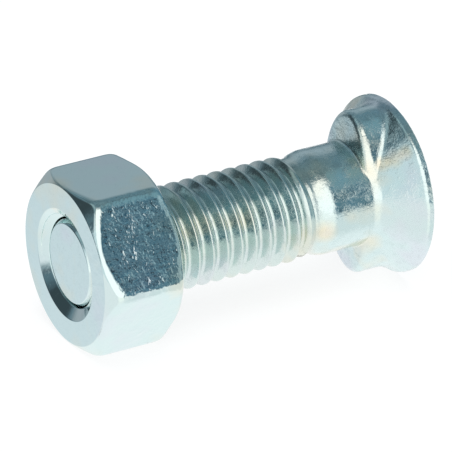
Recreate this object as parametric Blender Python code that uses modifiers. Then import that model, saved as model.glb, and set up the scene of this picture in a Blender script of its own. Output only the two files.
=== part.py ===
"""A zinc-plated M10 x 34 plow bolt with an oval neck, and the hexagon nut on its threaded end.

The bolt is drawn along +X with its threaded tip at zero, then laid down as it comes to rest: on one flat
of the nut and on the rim of the head. Metres, +Z up.
"""

import bmesh
import bpy
from math import atan2, cos, pi, radians, sin, tan
from mathutils import Matrix, Vector

# Thread
PITCH = 0.0015
THREAD_RADIUS = 0.00495
THREAD_DEPTH = 0.00087
CREST_WIDTH = 0.00030
ROOT_WIDTH = 0.00040
THREAD_PHASE = 0.00004
TIP_CHAMFER = 0.00116
TIP_CHAMFER_ANGLE = radians(45)
RUNOUT_LENGTH = 0.0018

# Shank, between the thread and the head: a little thicker than the thread, with a thinner neck before it
SHANK_STEP = 0.00006
SHANK_LENGTH = 0.0041
NECK_LENGTH = 0.0019
NECK_STEP = 0.00037
NECK_ROUNDING = 0.0022

# Head
BOLT_LENGTH = 0.0338
HEAD_RADIUS = 0.00854
HEAD_CONE_ANGLE = radians(45)
CONE_FILLET = 0.0013
RIM_HEIGHT = 0.00085
RIM_TAPER = 0.00038
RIM_ROUNDING = 0.0004
HEAD_EDGE = 0.00015

# Oval neck, whose two ends stand out of the shank as nibs
OVAL_DEPTH = 0.00445
OVAL_RIM_INSET = 0.00019
OVAL_SHANK_INSET = 0.00011
OVAL_EDGE_ROUNDING = 0.0010

# Nut
NUT_ACROSS_FLATS = 0.01573
NUT_HEIGHT = 0.00814
NUT_FACE_INSET = 0.000195
NUT_FRONT_CHAMFER_ANGLE = radians(38)
NUT_BACK_CHAMFER_ANGLE = radians(30)
NUT_MOUTH_WIDTH = 0.00042
NUT_MOUTH_ANGLE = radians(60)

# How the nut sits on the bolt
TIP_RECESS = 0.00048
TIP_CLEARANCE = 0.00012
RUNNING_CLEARANCE = 0.00006

# Mesh fineness
THREAD_STEPS = 36
TURNED_STEPS = 72
BORE_STEPS = 64
ROUNDING_STEPS = 4
OVERSIZE = 0.0006
BURIED = 0.0002
MERGE_DISTANCE = 0.000001
SHARP_ANGLE = radians(30)

# Radii that follow from the sizes above
ROOT_RADIUS = THREAD_RADIUS - THREAD_DEPTH
TIP_RADIUS = THREAD_RADIUS - TIP_CHAMFER
NECK_RADIUS = THREAD_RADIUS - NECK_STEP
SHANK_RADIUS = THREAD_RADIUS + SHANK_STEP
CONE_END_RADIUS = HEAD_RADIUS - RIM_TAPER
NUT_FLAT_RADIUS = NUT_ACROSS_FLATS / 2
NUT_CORNER_RADIUS = NUT_FLAT_RADIUS / cos(pi / 6)
NUT_FACE_RADIUS = NUT_FLAT_RADIUS - NUT_FACE_INSET

# Places along the bolt, measured from its tip: the thread takes what the head and the shank leave
RIM_START = BOLT_LENGTH - RIM_HEIGHT
CONE_START = RIM_START - (CONE_END_RADIUS - SHANK_RADIUS) / tan(HEAD_CONE_ANGLE)
SHANK_START = CONE_START - SHANK_LENGTH
THREAD_END = SHANK_START - NECK_LENGTH
FULL_THREAD_END = THREAD_END - RUNOUT_LENGTH


def clear_scene():
    for old in list(bpy.data.objects):
        bpy.data.objects.remove(old, do_unlink=True)


def new_collection(name):
    collection = bpy.data.collections.new(name)
    bpy.context.scene.collection.children.link(collection)
    return collection


def zinc_material(name, colour, roughness):
    material = bpy.data.materials.new(name)
    material.use_nodes = True
    shader = material.node_tree.nodes["Principled BSDF"]
    shader.inputs["Base Color"].default_value = (*colour, 1)
    shader.inputs["Metallic"].default_value = 1
    shader.inputs["Roughness"].default_value = roughness
    return material


def rounded(corners):
    """The points of an outline given as (x, radius, rounding) corners, with an arc at each rounded one."""
    points = []
    for index, (x, radius, rounding) in enumerate(corners):
        corner = Vector((x, radius))
        if not rounding:
            points.append(corner)
            continue
        back = (Vector(corners[index - 1][:2]) - corner).normalized()
        ahead = (Vector(corners[index + 1][:2]) - corner).normalized()
        half_angle = back.angle(ahead) / 2
        centre = corner + (back + ahead).normalized() * rounding / sin(half_angle)
        first = corner + back * rounding / tan(half_angle) - centre
        last = corner + ahead * rounding / tan(half_angle) - centre
        for step in range(ROUNDING_STEPS + 1):
            points.append(centre + first.lerp(last, step / ROUNDING_STEPS).normalized() * rounding)
    return points


def profile_object(name, points, collection):
    """An open outline in the XZ plane, radius up, ready to be turned about X."""
    mesh = bpy.data.meshes.new(name)
    edges = [(index, index + 1) for index in range(len(points) - 1)]
    mesh.from_pydata([(x, 0, radius) for x, radius in points], edges, [])
    profile = bpy.data.objects.new(name, mesh)
    collection.objects.link(profile)
    return profile


def turned(name, corners, collection, steps):
    """A solid turned about X from corners that start and end on the axis."""
    body = profile_object(name, rounded(corners), collection)
    screw = body.modifiers.new("turn", "SCREW")
    screw.axis = "X"
    screw.steps = steps
    screw.render_steps = steps
    screw.use_normal_flip = True
    screw.use_merge_vertices = True
    screw.merge_threshold = MERGE_DISTANCE
    return body


def finished(name, shape, collection):
    """Turns a bmesh into a named object."""
    mesh = bpy.data.meshes.new(name)
    shape.to_mesh(mesh)
    shape.free()
    body = bpy.data.objects.new(name, mesh)
    collection.objects.link(body)
    return body


def baked(body):
    """Puts the evaluated shape into the object's own mesh, and takes its modifiers off."""
    bpy.context.view_layer.update()
    graph = bpy.context.evaluated_depsgraph_get()
    mesh = bpy.data.meshes.new_from_object(body.evaluated_get(graph))
    body.modifiers.clear()
    body.data = mesh
    return body


def boolean(body, operation, other):
    modifier = body.modifiers.new(other.name, "BOOLEAN")
    modifier.operation = operation
    modifier.solver = "EXACT"
    modifier.object = other
    other.hide_render = True
    other.display_type = "WIRE"


def shade_round(body):
    body.data.shade_smooth()
    body.data.set_sharp_from_angle(angle=SHARP_ANGLE)


def threaded_rod(collection):
    """One pitch of the thread's outline swept up a right-hand helix, longer than the thread at both ends."""
    flank = (PITCH - CREST_WIDTH - ROOT_WIDTH) / 2
    outline = [
        (0, ROOT_RADIUS),
        (ROOT_WIDTH, ROOT_RADIUS),
        (ROOT_WIDTH + flank, THREAD_RADIUS),
        (ROOT_WIDTH + flank + CREST_WIDTH, THREAD_RADIUS),
        (PITCH, ROOT_RADIUS),
    ]
    spare_turns = 2
    start = THREAD_PHASE - ROOT_WIDTH - flank - CREST_WIDTH / 2 - spare_turns * PITCH
    rod = profile_object("threaded_rod", [(start + x, radius) for x, radius in outline], collection)
    screw = rod.modifiers.new("helix", "SCREW")
    screw.axis = "X"
    screw.screw_offset = PITCH
    screw.iterations = round(THREAD_END / PITCH) + 2 * spare_turns
    screw.steps = THREAD_STEPS
    screw.render_steps = THREAD_STEPS
    baked(rod)
    shape = bmesh.new()
    shape.from_mesh(rod.data)
    bmesh.ops.remove_doubles(shape, verts=shape.verts, dist=MERGE_DISTANCE)
    bmesh.ops.holes_fill(shape, edges=shape.edges)
    bmesh.ops.recalc_face_normals(shape, faces=shape.faces)
    shape.to_mesh(rod.data)
    shape.free()
    return rod


def thread_limit(collection):
    """What the thread stays inside: the tip's chamfer in front, and a slow taper down to the neck behind."""
    clear_radius = THREAD_RADIUS + OVERSIZE
    taper = (THREAD_RADIUS - NECK_RADIUS) / (THREAD_END - FULL_THREAD_END)
    inner_radius = NECK_RADIUS - BURIED
    corners = [
        (0, 0, 0),
        (0, TIP_RADIUS, 0),
        ((clear_radius - TIP_RADIUS) / tan(TIP_CHAMFER_ANGLE), clear_radius, 0),
        (FULL_THREAD_END - OVERSIZE / taper, clear_radius, 0),
        (THREAD_END + BURIED / taper, inner_radius, 0),
        (THREAD_END + BURIED / taper, 0, 0),
    ]
    return turned("thread_limit", corners, collection, TURNED_STEPS)


def forged_blank(collection):
    """Everything behind the thread: the neck, the shank, the countersunk cone, the rim and the flat head."""
    inner_radius = ROOT_RADIUS - BURIED
    corners = [
        (FULL_THREAD_END - PITCH, 0, 0),
        (FULL_THREAD_END - PITCH, inner_radius, 0),
        (THREAD_END, NECK_RADIUS, NECK_ROUNDING),
        ((THREAD_END + SHANK_START) / 2, (NECK_RADIUS + SHANK_RADIUS) / 2, 0),
        (SHANK_START, SHANK_RADIUS, NECK_ROUNDING),
        (CONE_START, SHANK_RADIUS, CONE_FILLET),
        (RIM_START, CONE_END_RADIUS, RIM_ROUNDING),
        (BOLT_LENGTH - HEAD_EDGE, HEAD_RADIUS, 0),
        (BOLT_LENGTH, HEAD_RADIUS - HEAD_EDGE, 0),
        (BOLT_LENGTH, 0, 0),
    ]
    return turned("forged_blank", corners, collection, TURNED_STEPS)


def along_x(shape, length, start):
    """Turns a Z-axis bmesh primitive centred on the origin to run along +X from start."""
    bmesh.ops.rotate(shape, verts=shape.verts, matrix=Matrix.Rotation(pi / 2, 3, "Y"))
    bmesh.ops.translate(shape, verts=shape.verts, vec=(start + length / 2, 0, 0))


def oval_neck(collection):
    """An elliptical block from in front of the cone into the head, with its front edge rounded."""
    start = BOLT_LENGTH - OVAL_DEPTH
    length = OVAL_DEPTH - HEAD_EDGE
    shape = bmesh.new()
    bmesh.ops.create_cone(
        shape, cap_ends=True, segments=TURNED_STEPS, radius1=1, radius2=1, depth=length
    )
    along_x(shape, length, start)
    short_radius = SHANK_RADIUS - OVAL_SHANK_INSET
    long_radius = HEAD_RADIUS - OVAL_RIM_INSET
    bmesh.ops.scale(shape, verts=shape.verts, vec=(1, short_radius, long_radius))
    middle = start + length / 2
    front = [edge for edge in shape.edges if all(vertex.co.x < middle for vertex in edge.verts)]
    bmesh.ops.bevel(
        shape, geom=front, offset=OVAL_EDGE_ROUNDING, segments=ROUNDING_STEPS, profile=0.5, affect="EDGES"
    )
    return finished("oval_neck", shape, collection)


def make_bolt(parts, tools):
    bolt = threaded_rod(parts)
    bolt.name = "bolt"
    boolean(bolt, "INTERSECT", thread_limit(tools))
    boolean(bolt, "UNION", forged_blank(tools))
    boolean(bolt, "UNION", oval_neck(tools))
    bolt.data.materials.append(zinc_material("bright_zinc_bolt", (0.55, 0.60, 0.62), 0.28))
    shade_round(bolt)
    return bolt


def nut_form(collection):
    """The turned form that chamfers both ends of the hexagon."""
    reach = NUT_CORNER_RADIUS + OVERSIZE
    front = (reach - NUT_FACE_RADIUS) * tan(NUT_FRONT_CHAMFER_ANGLE)
    back = (reach - NUT_FACE_RADIUS) * tan(NUT_BACK_CHAMFER_ANGLE)
    corners = [
        (0, 0, 0),
        (0, NUT_FACE_RADIUS, 0),
        (front, reach, 0),
        (NUT_HEIGHT - back, reach, 0),
        (NUT_HEIGHT, NUT_FACE_RADIUS, 0),
        (NUT_HEIGHT, 0, 0),
    ]
    return turned("nut_form", corners, collection, TURNED_STEPS)


def nut_bore(collection):
    """The bore, whose front mouth narrows to the thread's first lip, just ahead of the bolt's tip."""
    bore_radius = (THREAD_RADIUS + RUNNING_CLEARANCE) / cos(pi / BORE_STEPS)
    mouth_radius = bore_radius + NUT_MOUTH_WIDTH
    mouth_slope = tan(NUT_MOUTH_ANGLE)
    chamfer_slope = tan(TIP_CHAMFER_ANGLE)
    wall_at_face = TIP_RADIUS + TIP_CLEARANCE - TIP_RECESS * chamfer_slope
    lip = (mouth_radius - wall_at_face) / (mouth_slope + chamfer_slope)
    corners = [
        (-OVERSIZE, 0, 0),
        (-OVERSIZE, mouth_radius + OVERSIZE * mouth_slope, 0),
        (lip, mouth_radius - lip * mouth_slope, 0),
        ((bore_radius - wall_at_face) / chamfer_slope, bore_radius, 0),
        (NUT_HEIGHT - NUT_MOUTH_WIDTH / mouth_slope, bore_radius, 0),
        (NUT_HEIGHT + OVERSIZE, mouth_radius + OVERSIZE * mouth_slope, 0),
        (NUT_HEIGHT + OVERSIZE, 0, 0),
    ]
    return turned("nut_bore", corners, collection, BORE_STEPS)


def make_nut(parts, tools):
    length = NUT_HEIGHT + 2 * OVERSIZE
    shape = bmesh.new()
    bmesh.ops.create_cone(
        shape, cap_ends=True, segments=6, radius1=NUT_CORNER_RADIUS, radius2=NUT_CORNER_RADIUS, depth=length
    )
    along_x(shape, length, -OVERSIZE)
    nut = finished("hex_nut", shape, parts)
    form = nut_form(tools)
    bore = nut_bore(tools)
    boolean(nut, "INTERSECT", form)
    boolean(nut, "DIFFERENCE", bore)
    for piece in (nut, form, bore):
        piece.location.x = -TIP_RECESS
    nut.data.materials.append(zinc_material("bright_zinc_nut", (0.60, 0.66, 0.68), 0.25))
    shade_round(nut)
    return nut


def lay_down(parts, tools):
    """Tips everything so that a nut flat and the head's rim touch the ground, centred over the origin."""
    ground = bpy.data.objects.new("rest_frame", None)
    parts.objects.link(ground)
    for piece in list(parts.objects) + list(tools.objects):
        if piece != ground:
            piece.parent = ground
    nut_contact = NUT_FACE_INSET * tan(NUT_FRONT_CHAMFER_ANGLE) - TIP_RECESS
    if NUT_FLAT_RADIUS > HEAD_RADIUS:
        nut_contact = NUT_HEIGHT - NUT_FACE_INSET * tan(NUT_BACK_CHAMFER_ANGLE) - TIP_RECESS
    rim_contact = BOLT_LENGTH - HEAD_EDGE
    ground.rotation_euler.y = -atan2(HEAD_RADIUS - NUT_FLAT_RADIUS, rim_contact - nut_contact)
    bpy.context.view_layer.update()
    graph = bpy.context.evaluated_depsgraph_get()
    corners = []
    for piece in parts.objects:
        if piece.type == "MESH":
            evaluated = piece.evaluated_get(graph)
            corners += [evaluated.matrix_world @ vertex.co for vertex in evaluated.data.vertices]
    ground.location = (
        -(min(corner.x for corner in corners) + max(corner.x for corner in corners)) / 2,
        -(min(corner.y for corner in corners) + max(corner.y for corner in corners)) / 2,
        -min(corner.z for corner in corners),
    )


def main():
    clear_scene()
    parts = new_collection("plow_bolt")
    tools = new_collection("plow_bolt_tools")
    make_bolt(parts, tools)
    make_nut(parts, tools)
    lay_down(parts, tools)


main()
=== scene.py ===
from math import atan, atan2, ceil, cos, pi, radians, sin, sqrt, tan

import bpy
from mathutils import Matrix, Vector


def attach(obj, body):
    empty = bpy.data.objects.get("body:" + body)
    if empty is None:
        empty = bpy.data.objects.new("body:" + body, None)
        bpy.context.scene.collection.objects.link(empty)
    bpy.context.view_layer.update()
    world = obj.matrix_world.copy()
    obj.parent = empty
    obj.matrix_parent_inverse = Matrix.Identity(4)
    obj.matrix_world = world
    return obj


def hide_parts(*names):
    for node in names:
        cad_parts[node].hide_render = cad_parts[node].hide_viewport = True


mm = 0.001
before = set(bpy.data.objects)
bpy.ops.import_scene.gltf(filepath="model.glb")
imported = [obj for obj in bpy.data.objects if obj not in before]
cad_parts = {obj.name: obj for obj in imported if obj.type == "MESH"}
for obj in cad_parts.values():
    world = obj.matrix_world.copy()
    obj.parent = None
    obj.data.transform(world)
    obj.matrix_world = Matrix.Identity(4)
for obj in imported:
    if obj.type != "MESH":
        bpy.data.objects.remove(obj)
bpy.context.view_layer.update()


def linear(hexCode):
    channels = [int(hexCode[place:place + 2], 16) / 255 for place in (1, 3, 5)]
    return tuple(c / 12.92 if c <= 0.04045 else ((c + 0.055) / 1.055) ** 2.4 for c in channels) + (1,)


def addNode(tree, kind, settings=None, links=None):
    node = tree.nodes.new(kind)
    for name, value in (settings or {}).items():
        if isinstance(name, int) or name in node.inputs:
            node.inputs[name].default_value = value
        else:
            setattr(node, name, value)
    for name, source in (links or {}).items():
        tree.links.new(source, node.inputs[name])
    return node


def towards(longitude, latitude):
    # longitude 0 looks along +Y and 90 along +X
    east, up = radians(longitude), radians(latitude)
    return Vector((sin(east) * cos(up), cos(east) * cos(up), sin(up)))


# The camera is a long way off for the object's size, so the view is nearly parallel. It is rolled a little.
# Angles in degrees, and the clipping in metres.
viewpoint = {
    "target": Vector((-0.27, 0, 7.95)) * mm,
    "azimuth": -29.839,
    "elevation": 25.888,
    "roll": 0.786,
    "distance": 525.43 * mm,
    "lens": 453.26,
    "sensor": 36,
    "nearest": 0.01,
    "furthest": 20,
}


def placeCamera():
    v = viewpoint
    bpy.ops.object.select_all(action="DESELECT")
    bpy.ops.object.camera_add()
    camera = bpy.context.object
    camera.name = "camera"
    camera.data.lens = v["lens"]
    camera.data.sensor_width = v["sensor"]
    camera.data.clip_start = v["nearest"]
    camera.data.clip_end = v["furthest"]
    back = towards(180 - v["azimuth"], v["elevation"])
    upright = back.to_track_quat("Z", "Y").to_matrix().to_4x4()
    turned = upright @ Matrix.Rotation(radians(v["roll"]), 4, "Z")
    camera.matrix_world = Matrix.Translation(v["target"] + back * v["distance"]) @ turned
    bpy.context.scene.camera = camera


# White paper lies under the part, with one broad lamp over it. Millimetres.
studio = {
    "floorSize": 3000,
    "floorWhite": "#FFFFFF",
    "floorGlow": 0.84,
    "floorShade": 0.22,
    "lampDistance": 800,
    "lampSize": 800,
    "lampBrightness": 2.4,
}


def placeFloor():
    bpy.ops.object.select_all(action="DESELECT")
    bpy.ops.mesh.primitive_plane_add(size=studio["floorSize"] * mm)
    ground = bpy.context.object
    ground.name = "studio_floor"
    sheet = bpy.data.materials.new("white seamless paper")
    sheet.use_nodes = True
    tree = sheet.node_tree
    tree.nodes.clear()
    # the paper is white to the camera, and the lamp lights part of it, so that it takes the shadow
    rays = addNode(tree, "ShaderNodeLightPath")
    glow = addNode(
        tree,
        "ShaderNodeMath",
        {"operation": "MULTIPLY", 1: studio["floorGlow"]},
        {0: rays.outputs["Is Camera Ray"]},
    )
    lit = addNode(
        tree,
        "ShaderNodeEmission",
        {"Color": linear(studio["floorWhite"])},
        {"Strength": glow.outputs[0]},
    )
    matt = addNode(tree, "ShaderNodeBsdfDiffuse", {"Color": (studio["floorShade"],) * 3 + (1,)})
    both = addNode(tree, "ShaderNodeAddShader", None, {0: lit.outputs[0], 1: matt.outputs[0]})
    addNode(tree, "ShaderNodeOutputMaterial", None, {"Surface": both.outputs[0]})
    ground.data.materials.append(sheet)
    ground.visible_glossy = False  # the metal mirrors the wide white sweep of the room below instead


def placeLamp():
    away = studio["lampDistance"] * mm
    bpy.ops.object.light_add(type="AREA", location=viewpoint["target"] + Vector((0, 0, away)))
    lamp = bpy.context.object
    lamp.name = "overhead_lamp"
    lamp.data.size = studio["lampSize"] * mm
    lamp.data.energy = studio["lampBrightness"] * pi * lamp.data.size ** 2
    lamp.visible_glossy = False


# What the metal mirrors, by direction and in degrees. A broad white screen stands behind the camera, with a
# weaker one to its left, and the far side of the room is dim: the plating mirrors that navy blue, which is
# where its contrast comes from. An edge is a pair of angles: nothing at the first, and all at the second.
room = {
    "sideWall": "#658A9B",
    "farWall": "#657C86",
    "farWallAway": 130,
    "farWallEdge": (60, 110),
    "ceiling": "#708892",
    "ceilingEdge": (40, 70),
    "patches": [
        # colour, then longitude, latitude, half width, half height and softness of the edge
        ((0.42, 0.55, 0.60, 1), 126, 18, 18, 26, 6),
        ((0.025, 0.09, 0.145, 1), 151, 26, 7, 9, 5),
    ],
    "clutterScale": 8,
    "clutter": [
        # colour, shift of the noise, and the noise's values where it starts to show and where it covers
        ((0.035, 0.045, 0.06, 1), 0, 0.5, 0.7),
        ((0.24, 0.36, 0.43, 1), 9, 0.52, 0.75),
    ],
    "screens": [
        # as the patches, in front of the clutter
        ((0.38, 0.44, 0.485, 1), 24, 24, 36, 16, 12),
        ((0.42, 0.45, 0.48, 1), -8, -3, 18, 12, 8),
        ((0.22, 0.36, 0.42, 1), 118, 50, 26, 14, 8),
        ((0.05, 0.07, 0.08, 1), -54, 13, 21, 28, 8),
        ((0.34, 0.45, 0.48, 1), -84, 54, 30, 12, 8),
        ((0.79, 0.86, 0.89, 1), -108, 8, 20, 28, 6),
        ((1.36, 1.30, 1.27, 1), -159, 24, 35, 40, 8),
    ],
    "paper": (1.02, 1.0, 1.0, 1),
    "deepPaper": (1.10, 1.09, 1.09, 1),
    "deepEdge": (-40, -60),
    "paperTones": [
        # colour, then longitude with the edge round it, and the edge in latitude
        ((0.80, 0.85, 0.90, 1), -30, (70, 30), (-42, -22)),
        ((0.88, 0.91, 0.91, 1), 125, (45, 20), (-60, -40)),
        ((1.2, 1.16, 1.1, 1), -172, (36, 14), (-70, -20)),
    ],
    # the paper starts a little under the horizon, and lower on the far left, where the sweep turns up
    "nearEdge": (-5, -13),
    "farEdge": (-8, -30),
    "farLeft": -25,
    "farLeftEdge": (55, 35),
}


def placeRoom():
    r = room
    world = bpy.data.worlds.new("room")
    bpy.context.scene.world = world
    world.use_nodes = True
    tree = world.node_tree
    tree.nodes.clear()
    direction = addNode(tree, "ShaderNodeTexCoord").outputs["Generated"]
    flat = addNode(tree, "ShaderNodeVectorMath", {"operation": "MULTIPLY", 1: (1, 1, 0)}, {0: direction})
    level = addNode(tree, "ShaderNodeVectorMath", {"operation": "NORMALIZE"}, {0: flat.outputs[0]})
    height = addNode(tree, "ShaderNodeSeparateXYZ", None, {0: direction}).outputs["Z"]
    latitude = addNode(tree, "ShaderNodeMath", {"operation": "ARCSINE"}, {0: height}).outputs[0]

    def window(longitude, sideEdge, angle=None, angleEdge=None):
        # how far a direction is inside the edge round a longitude, the edge in another angle, or both
        edges = []
        if sideEdge:
            dot = addNode(
                tree,
                "ShaderNodeVectorMath",
                {"operation": "DOT_PRODUCT", 1: towards(longitude, 0)},
                {0: level.outputs[0]},
            )
            turned = addNode(tree, "ShaderNodeMath", {"operation": "ARCCOSINE"}, {0: dot.outputs["Value"]})
            edges.append((turned.outputs[0], sideEdge))
        if angleEdge:
            edges.append((angle, angleEdge))
        shares = []
        for source, (start, end) in edges:
            settings = {
                "interpolation_type": "SMOOTHSTEP",
                "From Min": radians(start),
                "From Max": radians(end),
            }
            shares.append(addNode(tree, "ShaderNodeMapRange", settings, {"Value": source}).outputs[0])
        if len(shares) == 1:
            return shares[0]
        both = addNode(tree, "ShaderNodeMath", {"operation": "MULTIPLY"}, {0: shares[0], 1: shares[1]})
        return both.outputs[0]

    def hung(behind, boards):
        for colour, longitude, middle, halfWide, halfHigh, soft in boards:
            settings = {"operation": "SUBTRACT", 1: radians(middle)}
            above = addNode(tree, "ShaderNodeMath", settings, {0: latitude}).outputs[0]
            off = addNode(tree, "ShaderNodeMath", {"operation": "ABSOLUTE"}, {0: above}).outputs[0]
            wide = (halfWide + soft, halfWide - soft)
            high = (halfHigh + soft, halfHigh - soft)
            share = window(longitude, wide, off, high)
            settings = {"data_type": "RGBA", 7: colour}
            behind = addNode(tree, "ShaderNodeMix", settings, {0: share, 6: behind}).outputs[2]
        return behind

    share = window(r["farWallAway"], r["farWallEdge"])
    settings = {"data_type": "RGBA", 6: linear(r["sideWall"]), 7: linear(r["farWall"])}
    walls = addNode(tree, "ShaderNodeMix", settings, {0: share}).outputs[2]
    share = window(None, None, latitude, r["ceilingEdge"])
    settings = {"data_type": "RGBA", 7: linear(r["ceiling"])}
    walls = addNode(tree, "ShaderNodeMix", settings, {0: share, 6: walls}).outputs[2]
    walls = hung(walls, r["patches"])
    for colour, shift, start, end in r["clutter"]:
        # soft shapes ten degrees or so across
        spot = addNode(tree, "ShaderNodeVectorMath", {"operation": "ADD", 1: (shift, 0, 0)}, {0: direction})
        settings = {"Scale": r["clutterScale"], "Detail": 3.0, "Roughness": 0.6}
        shapes = addNode(tree, "ShaderNodeTexNoise", settings, {"Vector": spot.outputs[0]})
        settings = {"From Min": start, "From Max": end}
        share = addNode(tree, "ShaderNodeMapRange", settings, {"Value": shapes.outputs["Fac"]}).outputs[0]
        settings = {"data_type": "RGBA", 7: colour}
        walls = addNode(tree, "ShaderNodeMix", settings, {0: share, 6: walls}).outputs[2]
    walls = hung(walls, r["screens"])

    share = window(None, None, latitude, r["deepEdge"])
    settings = {"data_type": "RGBA", 6: r["paper"], 7: r["deepPaper"]}
    paper = addNode(tree, "ShaderNodeMix", settings, {0: share}).outputs[2]
    for colour, longitude, sideEdge, heightEdge in r["paperTones"]:
        share = window(longitude, sideEdge, latitude, heightEdge)
        settings = {"data_type": "RGBA", 7: colour}
        paper = addNode(tree, "ShaderNodeMix", settings, {0: share, 6: paper}).outputs[2]

    near = window(None, None, latitude, r["nearEdge"])
    far = window(None, None, latitude, r["farEdge"])
    left = window(r["farLeft"], r["farLeftEdge"])
    share = addNode(tree, "ShaderNodeMix", None, {0: left, 2: near, 3: far}).outputs[0]
    seen = addNode(tree, "ShaderNodeMix", {"data_type": "RGBA"}, {0: share, 6: walls, 7: paper}).outputs[2]
    sky = addNode(tree, "ShaderNodeBackground", None, {"Color": seen})
    addNode(tree, "ShaderNodeOutputWorld", None, {"Surface": sky.outputs[0]})


bpy.context.scene.view_settings.view_transform = "Standard"
placeCamera()
placeFloor()
placeLamp()
placeRoom()
print("camera, floor, lamp and room placed")


def rounded(corners, steps, margin=0):
    # points of an outline given as (x, radius, rounding) corners, with an arc of so many steps at each
    # rounded one, and a point at the margin before and behind it, which keeps the flats flat
    points = []
    for index, (x, radius, rounding) in enumerate(corners):
        corner = Vector((x, radius))
        if not rounding:
            points.append(corner)
            continue
        back = (Vector(corners[index - 1][:2]) - corner).normalized()
        ahead = (Vector(corners[index + 1][:2]) - corner).normalized()
        if margin:
            points.append(corner + back * (rounding / tan(back.angle(ahead) / 2) + margin))
        half = back.angle(ahead) / 2
        centre = corner + (back + ahead).normalized() * rounding / sin(half)
        first = corner + back * rounding / tan(half) - centre
        last = corner + ahead * rounding / tan(half) - centre
        for step in range(steps + 1):
            points.append(centre + first.lerp(last, step / steps).normalized() * rounding)
        if margin:
            points.append(corner + ahead * (rounding / tan(half) + margin))
    return points


def heightAt(outline, x):
    for (startX, startRadius), (endX, endRadius) in zip(outline, outline[1:]):
        if startX <= x <= endX and endX > startX:
            return startRadius + (endRadius - startRadius) * (x - startX) / (endX - startX)
    return outline[0][1] if x < outline[0][0] else outline[-1][1]


def sheetRound(name, rowCount, turns, point):
    # a flat grid is wrapped round the bolt's axis: each row is a ring or one turn of a helix, in millimetres
    bpy.ops.object.select_all(action="DESELECT")
    bpy.ops.mesh.primitive_grid_add(x_subdivisions=rowCount - 1, y_subdivisions=len(turns) - 1, size=1)
    sheet = bpy.context.object
    sheet.name = name
    for vertex in sheet.data.vertices:
        row = round((vertex.co.x + 0.5) * (rowCount - 1))
        turn = turns[round((vertex.co.y + 0.5) * (len(turns) - 1))]
        x, radius = point(row, turn)
        vertex.co = Vector((x, -radius * sin(turn), radius * cos(turn))) * mm
    return sheet


def joined(sheets, name):
    # the sheets meet edge to edge, so merging their doubles closes the piece
    bpy.ops.object.select_all(action="DESELECT")
    for sheet in sheets:
        sheet.select_set(True)
    bpy.context.view_layer.objects.active = sheets[0]
    if len(sheets) > 1:
        bpy.ops.object.join()
    piece = bpy.context.object
    piece.name = name
    bpy.ops.object.mode_set(mode="EDIT")
    bpy.ops.mesh.select_all(action="SELECT")
    bpy.ops.mesh.remove_doubles(threshold=0.001 * mm)
    bpy.ops.mesh.dissolve_degenerate(threshold=0.0005 * mm)
    bpy.ops.mesh.normals_make_consistent(inside=False)
    bpy.ops.mesh.select_mode(type="EDGE")
    bpy.ops.mesh.select_all(action="DESELECT")
    bpy.ops.mesh.select_non_manifold()
    bpy.ops.object.mode_set(mode="OBJECT")
    openEdges = sum(edge.select for edge in piece.data.edges)
    piece.data.transform(axisPlace)
    bpy.ops.object.shade_smooth()
    bpy.ops.object.modifier_add(type="WEIGHTED_NORMAL")
    bpy.ops.object.modifier_apply(modifier=piece.modifiers[0].name)
    print(name, "has", len(piece.data.polygons), "faces,", openEdges, "open edges")
    return piece


# The bolt's own axis runs from the centre of its tip and rises a little towards the head. Millimetres.
bolt = {
    "tip": (-16.66386, 0, 7.86996),
    "rise": radians(1.13811),
    "segments": 180,
    "pitch": 1.5,
    "crestRadius": 4.95,
    "rootRadius": 4.08,
    "crestWidth": 0.22,
    "rootWidth": 0.4,
    "crestRounding": 0.14,
    "rootRounding": 0.31,
    "threadArc": 3,
    "phase": 0.04,
    "tipRings": (0, 1.2, 2.4, 3.3, 3.5),
    "tipRadius": 3.79,
    "tipSlope": 0.77,
    "tipEdge": 0.12,
    "tipArc": 6,
    "tipMargin": 0.02,
    "threadStart": 0.25,
    "fullThreadEnd": 22.0,
    "threadEnd": 23.8,
    "threadSnap": 0.02,
    "runOut": (21.9, 3.9),
    "runOutEnd": 23.5,
    "runOutRounding": 0.5,
    "neckRadius": 4.58,
    "neckStep": 0.06,
    "neckLength": 0.25,
    "neckRounding": 2.4,
    "shankStart": 25.15,
    "shankRadius": 5.01,
    "coneStart": 29.8,
    "coneFillet": 1.3,
    "rimStart": 33.08,
    "rimRadius": 8.5,
    "rimRounding": 0.55,
    "length": 33.8,
    "headRadius": 8.54,
    "headEdge": 0.16,
    "headEdgeRounding": 0.08,
    "headRings": (8.0, 7.2, 6.0, 4.0, 2.0, 0),
    "blankArc": 8,
    "ovalStart": 29.1,
    "ovalLong": 8.22,
    "ovalShort": 4.45,
    "ovalRounding": (0.55, 1.9),
    "ovalDraft": 0.12,
    "ovalBlend": 0.29,
    "blendDip": 1.2,
    "blendSwell": 1.9,
    "lastRing": 28.6,
    "ringStep": 0.25,
    "eye": (33.0, 3.0),
    "rayStep": radians(0.9),
}
axisPlace = Matrix.Translation(Vector(bolt["tip"]) * mm) @ Matrix.Rotation(-bolt["rise"], 4, "Y")


def threadOutline():
    # one pitch from the middle of a root to the middle of the next, with its crest at zero
    b = bolt
    half = b["pitch"] / 2
    corners = [
        (-b["pitch"], b["rootRadius"], 0),
        (-half + b["rootWidth"] / 2, b["rootRadius"], b["rootRounding"]),
        (-b["crestWidth"] / 2, b["crestRadius"], b["crestRounding"]),
        (b["crestWidth"] / 2, b["crestRadius"], b["crestRounding"]),
        (half - b["rootWidth"] / 2, b["rootRadius"], b["rootRounding"]),
        (b["pitch"], b["rootRadius"], 0),
    ]
    return [Vector((-half, b["rootRadius"]))] + rounded(corners, b["threadArc"])[1:-1]


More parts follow.
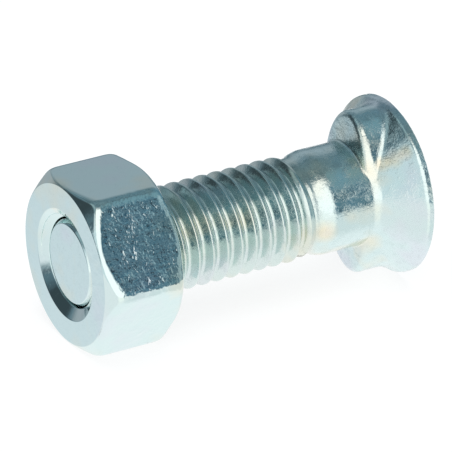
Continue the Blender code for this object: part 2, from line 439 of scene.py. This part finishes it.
def blankOutline():
    # the bolt's side as it would be without thread or oval, from the run-out to the head's face
    b = bolt
    corners = [
        (*b["runOut"], 0),
        (b["runOutEnd"], b["neckRadius"] - b["neckStep"], b["runOutRounding"]),
        (b["threadEnd"] + b["neckLength"], b["neckRadius"], b["neckRounding"]),
        ((b["threadEnd"] + b["shankStart"]) / 2, (b["neckRadius"] + b["shankRadius"]) / 2, 0),
        (b["shankStart"], b["shankRadius"], b["neckRounding"]),
        (b["coneStart"], b["shankRadius"], b["coneFillet"]),
        (b["rimStart"], b["rimRadius"], b["rimRounding"]),
        (b["length"] - b["headEdge"], b["headRadius"], b["headEdgeRounding"]),
        (b["length"], b["headRadius"] - b["headEdge"], 0),
    ]
    return rounded(corners, b["blankArc"])


def makeBolt():
    b = bolt
    turns = [2 * pi * step / b["segments"] for step in range(b["segments"] + 1)]
    blank = blankOutline()

    # tip: the end face, its edge and the start of the chamfer
    chamferEnd = (b["threadStart"], b["tipRadius"] + b["threadStart"] * b["tipSlope"], 0)
    *tipRings, lastTipRing = b["tipRings"]
    tipCorners = [(0, lastTipRing, 0), (0, b["tipRadius"], b["tipEdge"]), chamferEnd]
    tipRows = [(0, radius) for radius in tipRings]
    tipRows += rounded(tipCorners, b["tipArc"], b["tipMargin"])
    tip = sheetRound("tip", len(tipRows), turns, lambda row, turn: tipRows[row])

    # thread: one outline swept up a right-hand helix, held inside the tip's chamfer and the run-out's taper.
    # It starts two pitches early and ends a pitch late, so that both ends can be cut square.
    outline = threadOutline()
    perPitch = len(outline)
    firstPitch = -2
    pitches = ceil(b["threadEnd"] / b["pitch"]) + 3
    lastRadius = heightAt(blank, b["threadEnd"])
    fade = b["crestRadius"] - lastRadius

    def threadPoint(row, turn):
        along, radius = outline[row % perPitch]
        x = along + b["phase"] + b["pitch"] * (firstPitch + row // perPitch + turn / (2 * pi))
        # rows past an end, or nearly there, lie on its ring, where their doubles merge
        if x < b["threadStart"] + b["threadSnap"]:
            x = b["threadStart"]
        if x > b["threadEnd"] - b["threadSnap"]:
            x = b["threadEnd"]
        left = min(max((b["threadEnd"] - x) / (b["threadEnd"] - b["fullThreadEnd"]), 0), 1)
        limit = min(b["tipRadius"] + x * b["tipSlope"], lastRadius + fade * left * left * (3 - 2 * left))
        return x, max(min(radius, limit), heightAt(blank, x) if x > blank[0][0] else 0)

    thread = sheetRound("thread", pitches * perPitch + 1, turns, threadPoint)

    # shank and head: rings up to the oval's foot, then rays from a point inside the head, which see its side
    lastRing = b["lastRing"]
    marks = [x for x in sorted({point[0] for point in blank}) if b["threadEnd"] <= x <= lastRing]
    rings = [b["threadEnd"], lastRing]
    for start, end in zip(marks, marks[1:] + [lastRing]):
        steps = max(1, ceil((end - start) / b["ringStep"]))
        rings += [start + (end - start) * step / steps for step in range(steps)]
    rings = sorted({round(x, 5) for x in rings})
    eye = Vector(b["eye"])
    side = [Vector((lastRing, b["shankRadius"]))] + [point for point in blank if point[0] > lastRing]
    marks = [atan2(point[1] - eye.y, eye.x - point[0]) for point in side]
    rays = []
    for start, end in zip(marks, marks[1:]):
        steps = max(1, ceil((end - start) / b["rayStep"]))
        rays += [start + (end - start) * step / steps for step in range(steps)]
    rays.append(marks[-1])

    def reachSide(ray):
        # how far the blank's side is along a ray
        aim = Vector((-cos(ray), sin(ray)))
        for start, end in zip(side, side[1:]):
            along = Vector(end) - Vector(start)
            cross = aim.x * along.y - aim.y * along.x
            if abs(cross) < 1e-9:
                continue
            gap = Vector(start) - eye
            share = (gap.x * aim.y - gap.y * aim.x) / cross
            reach = (gap.x * along.y - gap.y * along.x) / cross
            if -1e-6 <= share <= 1 + 1e-6 and reach > 0:
                return reach
        return 0

    sideReach = [reachSide(ray) for ray in rays]

    def reachOval(ray, turn):
        # how far the oval block is along a ray at this turn: its front face, its rounded edge or its side
        radius = b["ovalLong"] * b["ovalShort"] / sqrt(
            (b["ovalShort"] * cos(turn)) ** 2 + (b["ovalLong"] * sin(turn)) ** 2
        )
        aim = Vector((-cos(ray), sin(ray)))
        # the front face leans back a little, so it is a ray's crossing with a sloping line
        lean = b["ovalDraft"]
        front = b["ovalStart"] + lean * (eye.y - b["shankRadius"])
        toFront = (eye.x - front) / (lean * aim.y - aim.x) if lean * aim.y > aim.x else 1e9
        toSide = (radius - eye.y) / aim.y
        reach = min(toFront, toSide)
        least, most = b["ovalRounding"]
        rounding = least + (most - least) * sin(turn) ** 2
        foot = b["ovalStart"] + lean * (radius - rounding - b["shankRadius"])
        centre = Vector((foot + rounding * sqrt(1 + lean * lean), radius - rounding))
        spot = eye + aim * reach
        touch = centre + Vector((-1, lean)).normalized() * rounding
        if spot.y > touch.y and spot.x < centre.x:
            offset = eye - centre
            middle = offset.dot(aim)
            inside = middle * middle - offset.dot(offset) + rounding * rounding
            if inside > 0:
                reach = -middle + sqrt(inside)
        return reach

    def headPoint(row, turn):
        if row < len(rings):
            return rings[row], heightAt(blank, rings[row])
        row -= len(rings)
        if row >= len(rays):
            return b["length"], b["headRings"][row - len(rays)]
        first, second = sideReach[row], reachOval(rays[row], turn)
        # a smooth maximum of the two reaches gives the soft forged fillet between the oval and the cone
        share = cos(turn) ** 2
        blend = b["ovalBlend"] * (1 - b["blendDip"] * share + b["blendSwell"] * share * share)
        overlap = max(blend - abs(first - second), 0)
        reach = max(first, second) + overlap * overlap / (4 * blend)
        # it stays inside the rim
        if row > 0 and sin(rays[row]) > 0:
            reach = min(reach, max(first, (b["rimRadius"] - eye.y) / sin(rays[row])))
        if row == 0 or row == len(rays) - 1:
            reach = first
        return eye.x - cos(rays[row]) * reach, eye.y + sin(rays[row]) * reach

    head = sheetRound("head", len(rings) + len(rays) + len(b["headRings"]), turns, headPoint)
    return joined([tip, thread, head], "bolt_with_head")


# The nut's outer face is at zero here, and stands ahead of the bolt's tip. Millimetres.
nut = {
    "recess": 0.48,
    "flatRadius": 7.865,
    "faceRadius": 7.67,
    "height": 8.14,
    "frontChamfer": radians(38),
    "backChamfer": radians(30),
    "chamferShare": 0.7,
    "edgeReach": 0.38,
    "cornerReach": 0.5,
    "edgeSteps": 8,
    "faceEdgeRounding": 0.12,
    "faceArc": 5,
    "cornerRounding": 1.3,
    "cornerSteps": 8,
    "boreRadius": 5.016,
    "mouthRadius": 5.32,
    "mouthSlope": 1.73,
    "lipRadius": 4.25,
    "lipClearance": 0.12,
    "grooveRadius": 5.0,
    "grooveDepth": 0.62,
    "boreStart": 1.95,
    "mouthRows": 46,
    "flatSteps": 20,
    "flatMargin": radians(0.3),
    "faceMargin": 0.3,
    "margin": 0.03,
}


def makeNut():
    n = nut
    # turns round the nut, closer together on the six rounded corners
    tangent = atan((n["flatRadius"] - n["cornerRounding"]) / n["flatRadius"] * tan(pi / 6))
    flatEnd = tangent - n["flatMargin"]
    oneSide = [-flatEnd + 2 * flatEnd * step / n["flatSteps"] for step in range(n["flatSteps"] + 1)]
    cornerSteps = n["cornerSteps"]
    oneSide += [tangent + (pi / 3 - 2 * tangent) * step / cornerSteps for step in range(cornerSteps + 1)]
    turns = [pi / 3 * side + local for side in range(6) for local in oneSide]
    turns.append(turns[0] + 2 * pi)

    def hexRadius(turn):
        local = (turn + pi / 6) % (pi / 3) - pi / 6
        if abs(local) <= tangent:
            return n["flatRadius"] / cos(local)
        centre = (n["flatRadius"] - n["cornerRounding"]) / cos(pi / 6)
        swing = pi / 6 - abs(local)
        return centre * cos(swing) + sqrt(n["cornerRounding"] ** 2 - (centre * sin(swing)) ** 2)

    def mouthWidth(depth, turn):
        # countersink, then the start of the nut's thread: a helical groove, and its lip clear of the bolt
        countersink = n["mouthRadius"] - depth * n["mouthSlope"]
        grooves = [n["grooveDepth"] + bolt["pitch"] * (turn / (2 * pi) + lap) for lap in (-1, 0)]
        groove = max(n["grooveRadius"] - abs(depth - middle) / tan(pi / 6) for middle in grooves)
        chamfer = bolt["tipRadius"] + (depth - n["recess"]) * bolt["tipSlope"] + n["lipClearance"]
        return min(max(countersink, groove, chamfer, n["lipRadius"]), max(countersink, n["boreRadius"]))

    def softened(x, outer, chamfer, ahead):
        # the edge between chamfer and flat, which reaches further along the flat; held to the chamfer's width
        width = (outer - n["faceRadius"]) / cos(chamfer)
        slope = Vector((-sin(chamfer), -cos(chamfer)))
        start = slope * min(n["chamferShare"] * width, n["edgeReach"])
        end = Vector((n["edgeReach"] + n["cornerReach"] * (outer - n["flatRadius"]), 0))
        shares = [step / n["edgeSteps"] for step in range(n["edgeSteps"] + 1)]
        points = [start * (1 - share) ** 2 + end * share ** 2 for share in shares]
        points = [start + slope * n["margin"]] + points + [end + Vector((n["margin"], 0))]
        return [(x + ahead * point.x, outer + point.y, 0) for point in points[::ahead]]

    def outlineAt(turn):
        outer = hexRadius(turn)
        front = (outer - n["faceRadius"]) * tan(n["frontChamfer"])
        back = (outer - n["faceRadius"]) * tan(n["backChamfer"])
        faceEdge = n["faceEdgeRounding"]
        rim = n["mouthRadius"]
        corners = [
            (0, rim + n["faceMargin"], 0),
            (0, n["faceRadius"], faceEdge),
            *softened(front, outer, n["frontChamfer"], 1),
            (n["height"] / 2, outer, 0),
            *softened(n["height"] - back, outer, n["backChamfer"], -1),
            (n["height"], n["faceRadius"], faceEdge),
            (n["height"], rim + n["faceMargin"], 0),
            (n["height"], rim + n["margin"], 0),
            (n["height"], rim, 0),
            (n["height"] - (rim - n["boreRadius"]) / n["mouthSlope"], n["boreRadius"], 0),
            (n["boreStart"], n["boreRadius"], 0),
        ]
        points = [tuple(point) for point in rounded(corners, n["faceArc"], n["margin"])]
        for row in range(1, n["mouthRows"] + 1):
            depth = n["boreStart"] * (1 - row / n["mouthRows"])
            points.append((depth, mouthWidth(depth, turn)))
        points.append((0, rim + n["margin"]))
        points.append((0, rim + n["faceMargin"]))
        return points

    outlines = {turn: outlineAt(turn) for turn in turns}
    rowCount = len(outlines[turns[0]])

    def nutPoint(row, turn):
        x, radius = outlines[turn][row]
        return x - n["recess"], radius

    return joined([sheetRound("nut_shell", rowCount, turns, nutPoint)], "nut_with_mouth")


boltPiece = makeBolt()
nutPiece = makeNut()
print("bolt and nut modelled")


# Steel, electroplated with bright zinc and passivated blue-clear: a cool silver mirror. The steel under it is
# grainy and a little dented, so dark reflections are broken up by pale specks, while pale ones stay clean.
plating = {
    "clean": "#D3E7E7",
    "violet": "#DADFE8",
    "straw": "#EBE1C6",
    "shade": "#BFCEC9",
    "filmSize": 5,
    # the noise's values where each tint starts to show and where it is full
    "strawRange": (0.52, 0.72),
    "violetRange": (0.45, 0.3),
    "stainCore": 0.3,
    "stainDepth": 0.7,
    "grainRange": (0.4, 0.75),
    "grainShare": 0.9,
    "blotchRange": (0.4, 0.7),
    "gathering": (0.25, 1.5),
}
# sizes, depths and places in millimetres
forged = {
    "name": "blue-clear zinc on forged steel",
    "filmShift": (11, 5, 2),
    "stains": [
        # centre and radius
        ((14.0, -4.2, 12.9), 0.9),
        ((14.8, -4.8, 13.5), 1.1),
        ((15.6, -5.4, 14.2), 0.9),
        ((7.6, -4.6, 7.4), 1.5),
    ],
    "tint": 0.6,
    "grain": 0.17,
    "blotch": 0.8,
    "clouding": (-0.2, 0.6),
    "roughness": (0.12, 0.4),
    "grit": 0.17,
    "gritDepth": 0.02,
    "dent": 1.1,
    "dentDepth": 0.025,
    "rolled": (7.6, 6.6),
    "rolledRoughness": -0.03,
    "rolledBump": 0.4,
    "rolledSmear": 0.6,
    "rolledTurn": 0.25,
    "rolledStraw": 0.1,
    "rolledShade": 0.3,
    "cropped": (-16.6, -16.4),
    "croppedRoughness": 0.6,
    "croppedBump": 0.1,
}
pressed = {
    "name": "blue-clear zinc on pressed steel",
    "filmShift": (0, 0, 0),
    "stains": [],
    "tint": 0.4,
    "grain": 0.2,
    "blotch": 0.9,
    "clouding": (-0.6, 0.35),
    "roughness": (0.05, 0.22),
    "grit": 0.24,
    "gritDepth": 0.02,
    "dent": 1.8,
    "dentDepth": 0.12,
    "knockedSide": (-3.7, -4.6),
    "knockedLength": (-16.7, -15.4),
    "knockedEdge": 0.15,
    "otherSides": 0.08,
}


def zincMaterial(finish):
    p = plating
    material = bpy.data.materials.new(finish["name"])
    material.use_nodes = True
    tree = material.node_tree
    shader = tree.nodes["Principled BSDF"]
    shader.inputs["Metallic"].default_value = 1
    place = addNode(tree, "ShaderNodeTexCoord").outputs["Object"]
    spot = addNode(tree, "ShaderNodeSeparateXYZ", None, {0: place})

    if "rolled" in finish:
        # the thread starts behind the cropped face of the tip
        start, end = finish["cropped"]
        settings = {"From Min": start * mm, "From Max": end * mm}
        behind = addNode(tree, "ShaderNodeMapRange", settings, {"Value": spot.outputs["X"]}).outputs[0]
        start, end = finish["rolled"]
        settings = {"From Min": start * mm, "From Max": end * mm}
        ahead = addNode(tree, "ShaderNodeMapRange", settings, {"Value": spot.outputs["X"]}).outputs[0]
        rolled = addNode(tree, "ShaderNodeMath", {"operation": "MULTIPLY"}, {0: ahead, 1: behind}).outputs[0]
        # rolling smears what the thread mirrors, and a quarter turn puts that along the bolt
        settings = {"operation": "MULTIPLY", 1: finish["rolledSmear"]}
        smear = addNode(tree, "ShaderNodeMath", settings, {0: rolled})
        tree.links.new(smear.outputs[0], shader.inputs["Anisotropic"])
        shader.inputs["Anisotropic Rotation"].default_value = finish["rolledTurn"]
        tangent = addNode(tree, "ShaderNodeTangent", {"direction_type": "RADIAL", "axis": "X"})
        tree.links.new(tangent.outputs[0], shader.inputs["Tangent"])

    # the passivation film is uneven, so it turns violet and straw in patches a few millimetres wide
    settings = {"operation": "ADD", 1: [shift * mm for shift in finish["filmShift"]]}
    shifted = addNode(tree, "ShaderNodeVectorMath", settings, {0: place})
    settings = {"Scale": 1 / (p["filmSize"] * mm), "Detail": 2.0, "Roughness": 0.5}
    film = addNode(tree, "ShaderNodeTexNoise", settings, {"Vector": shifted.outputs[0]}).outputs["Fac"]
    start, end = p["strawRange"]
    settings = {"From Min": start, "From Max": end, "To Max": finish["tint"]}
    warm = addNode(tree, "ShaderNodeMapRange", settings, {"Value": film}).outputs[0]
    start, end = p["violetRange"]
    settings = {"From Min": start, "From Max": end, "To Max": finish["tint"]}
    cool = addNode(tree, "ShaderNodeMapRange", settings, {"Value": film}).outputs[0]
    if "rolled" in finish:
        settings = {"operation": "MULTIPLY_ADD", 1: finish["rolledStraw"]}
        warm = addNode(tree, "ShaderNodeMath", settings, {0: rolled, 2: warm}).outputs[0]
    # and clear straw stains, where the part drained
    for centre, radius in finish["stains"]:
        settings = {"operation": "DISTANCE", 1: [value * mm for value in centre]}
        reach = addNode(tree, "ShaderNodeVectorMath", settings, {0: place}).outputs["Value"]
        core = p["stainCore"] * radius
        settings = {"From Min": radius * mm, "From Max": core * mm, "To Max": p["stainDepth"]}
        stain = addNode(tree, "ShaderNodeMapRange", settings, {"Value": reach}).outputs[0]
        settings = {"operation": "ADD", "use_clamp": True}
        warm = addNode(tree, "ShaderNodeMath", settings, {0: warm, 1: stain}).outputs[0]
    settings = {"data_type": "RGBA", 6: linear(p["clean"]), 7: linear(p["straw"])}
    colour = addNode(tree, "ShaderNodeMix", settings, {0: warm}).outputs[2]
    settings = {"data_type": "RGBA", 7: linear(p["violet"])}
    colour = addNode(tree, "ShaderNodeMix", settings, {0: cool, 6: colour}).outputs[2]
    if "rolled" in finish:
        # the threaded zone's base colour is mixed part way towards a darker grey-green
        settings = {"operation": "MULTIPLY", 1: finish["rolledShade"]}
        shade = addNode(tree, "ShaderNodeMath", settings, {0: rolled}).outputs[0]
        settings = {"data_type": "RGBA", 7: linear(p["shade"])}
        colour = addNode(tree, "ShaderNodeMix", settings, {0: shade, 6: colour}).outputs[2]
    tree.links.new(colour, shader.inputs["Base Color"])

    # grain of the steel, drawn coarser than the real one so that it shows; duller grains gather in blotches
    settings = {"Scale": 1 / (finish["grain"] * mm), "Detail": 1.0, "Roughness": 0.5}
    grain = addNode(tree, "ShaderNodeTexNoise", settings, {"Vector": place}).outputs["Fac"]
    start, end = p["grainRange"]
    settings = {"From Min": start, "From Max": end}
    speck = addNode(tree, "ShaderNodeMapRange", settings, {"Value": grain}).outputs[0]
    settings = {"Scale": 1 / (finish["blotch"] * mm), "Detail": 3.0, "Roughness": 0.55}
    blotch = addNode(tree, "ShaderNodeTexNoise", settings, {"Vector": place}).outputs["Fac"]
    start, end = p["blotchRange"]
    least, most = finish["clouding"]
    settings = {"From Min": start, "From Max": end, "To Min": least, "To Max": most}
    clouded = addNode(tree, "ShaderNodeMapRange", settings, {"Value": blotch}).outputs[0]
    settings = {"operation": "MULTIPLY_ADD", 1: p["grainShare"]}
    speckled = addNode(tree, "ShaderNodeMath", settings, {0: speck, 2: clouded}).outputs[0]
    least, most = finish["roughness"]
    settings = {"To Min": least, "To Max": most}
    dull = addNode(tree, "ShaderNodeMapRange", settings, {"Value": speckled}).outputs[0]
    if "rolled" in finish:
        # rolling leaves the thread a little smoother than the shank, and the cropped tip is smoother still
        settings = {"operation": "MULTIPLY_ADD", 1: finish["rolledRoughness"]}
        dull = addNode(tree, "ShaderNodeMath", settings, {0: rolled, 2: dull}).outputs[0]
        settings = {"To Min": finish["croppedRoughness"], "To Max": 1.0}
        clean = addNode(tree, "ShaderNodeMapRange", settings, {"Value": behind}).outputs[0]
        dull = addNode(tree, "ShaderNodeMath", {"operation": "MULTIPLY"}, {0: dull, 1: clean}).outputs[0]
    tree.links.new(dull, shader.inputs["Roughness"])

    # dents a millimetre or two across, then the grit, which is steeper where grains gather
    settings = {"Scale": 1 / (finish["dent"] * mm), "Detail": 3.0, "Roughness": 0.5}
    dents = addNode(tree, "ShaderNodeTexNoise", settings, {"Vector": place}).outputs["Fac"]
    settings = {"operation": "MULTIPLY", 1: finish["dentDepth"] * mm}
    dents = addNode(tree, "ShaderNodeMath", settings, {0: dents}).outputs[0]
    settings = {"Scale": 1 / (finish["grit"] * mm), "Detail": 1.0, "Roughness": 0.5}
    grit = addNode(tree, "ShaderNodeTexNoise", settings, {"Vector": place}).outputs["Fac"]
    settings = {"operation": "MULTIPLY", 1: finish["gritDepth"] * mm}
    grit = addNode(tree, "ShaderNodeMath", settings, {0: grit}).outputs[0]
    start, end = p["blotchRange"]
    least, most = p["gathering"]
    settings = {"From Min": start, "From Max": end, "To Min": least, "To Max": most}
    gather = addNode(tree, "ShaderNodeMapRange", settings, {"Value": blotch}).outputs[0]
    grit = addNode(tree, "ShaderNodeMath", {"operation": "MULTIPLY"}, {0: gather, 1: grit}).outputs[0]
    raised = addNode(tree, "ShaderNodeMath", {"operation": "ADD"}, {0: dents, 1: grit}).outputs[0]
    bump = addNode(tree, "ShaderNodeBump", {"Strength": 1.0, "Distance": 1.0}, {"Height": raised})
    tree.links.new(bump.outputs[0], shader.inputs["Normal"])
    if "rolled" in finish:
        # rolling pressed the grit down, and the tip's face was cut clean
        settings = {"To Min": 1.0, "To Max": finish["rolledBump"]}
        burnished = addNode(tree, "ShaderNodeMapRange", settings, {"Value": rolled}).outputs[0]
        settings = {"To Min": finish["croppedBump"], "To Max": 1.0}
        even = addNode(tree, "ShaderNodeMapRange", settings, {"Value": behind}).outputs[0]
        strength = addNode(tree, "ShaderNodeMath", {"operation": "MULTIPLY"}, {0: burnished, 1: even})
        tree.links.new(strength.outputs[0], bump.inputs["Strength"])
    if "knockedSide" in finish:
        # one side of the nut was knocked about behind its edge; the rest of it is nearly smooth
        start, end = finish["knockedSide"]
        settings = {"From Min": start * mm, "From Max": end * mm}
        across = addNode(tree, "ShaderNodeMapRange", settings, {"Value": spot.outputs["Y"]}).outputs[0]
        start, end = finish["knockedLength"]
        settings = {"From Min": start * mm, "From Max": end * mm, "To Min": finish["knockedEdge"]}
        along = addNode(tree, "ShaderNodeMapRange", settings, {"Value": spot.outputs["X"]}).outputs[0]
        settings = {"operation": "MULTIPLY_ADD", 2: finish["otherSides"]}
        knocked = addNode(tree, "ShaderNodeMath", settings, {0: across, 1: along})
        tree.links.new(knocked.outputs[0], bump.inputs["Strength"])
    return material


boltPiece.data.materials.clear()
boltPiece.data.materials.append(zincMaterial(forged))
nutPiece.data.materials.clear()
nutPiece.data.materials.append(zincMaterial(pressed))

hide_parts("bolt")
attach(boltPiece, "bolt")
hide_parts("hex_nut")
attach(nutPiece, "nut")
print("plating laid on and pieces tied to their bodies")
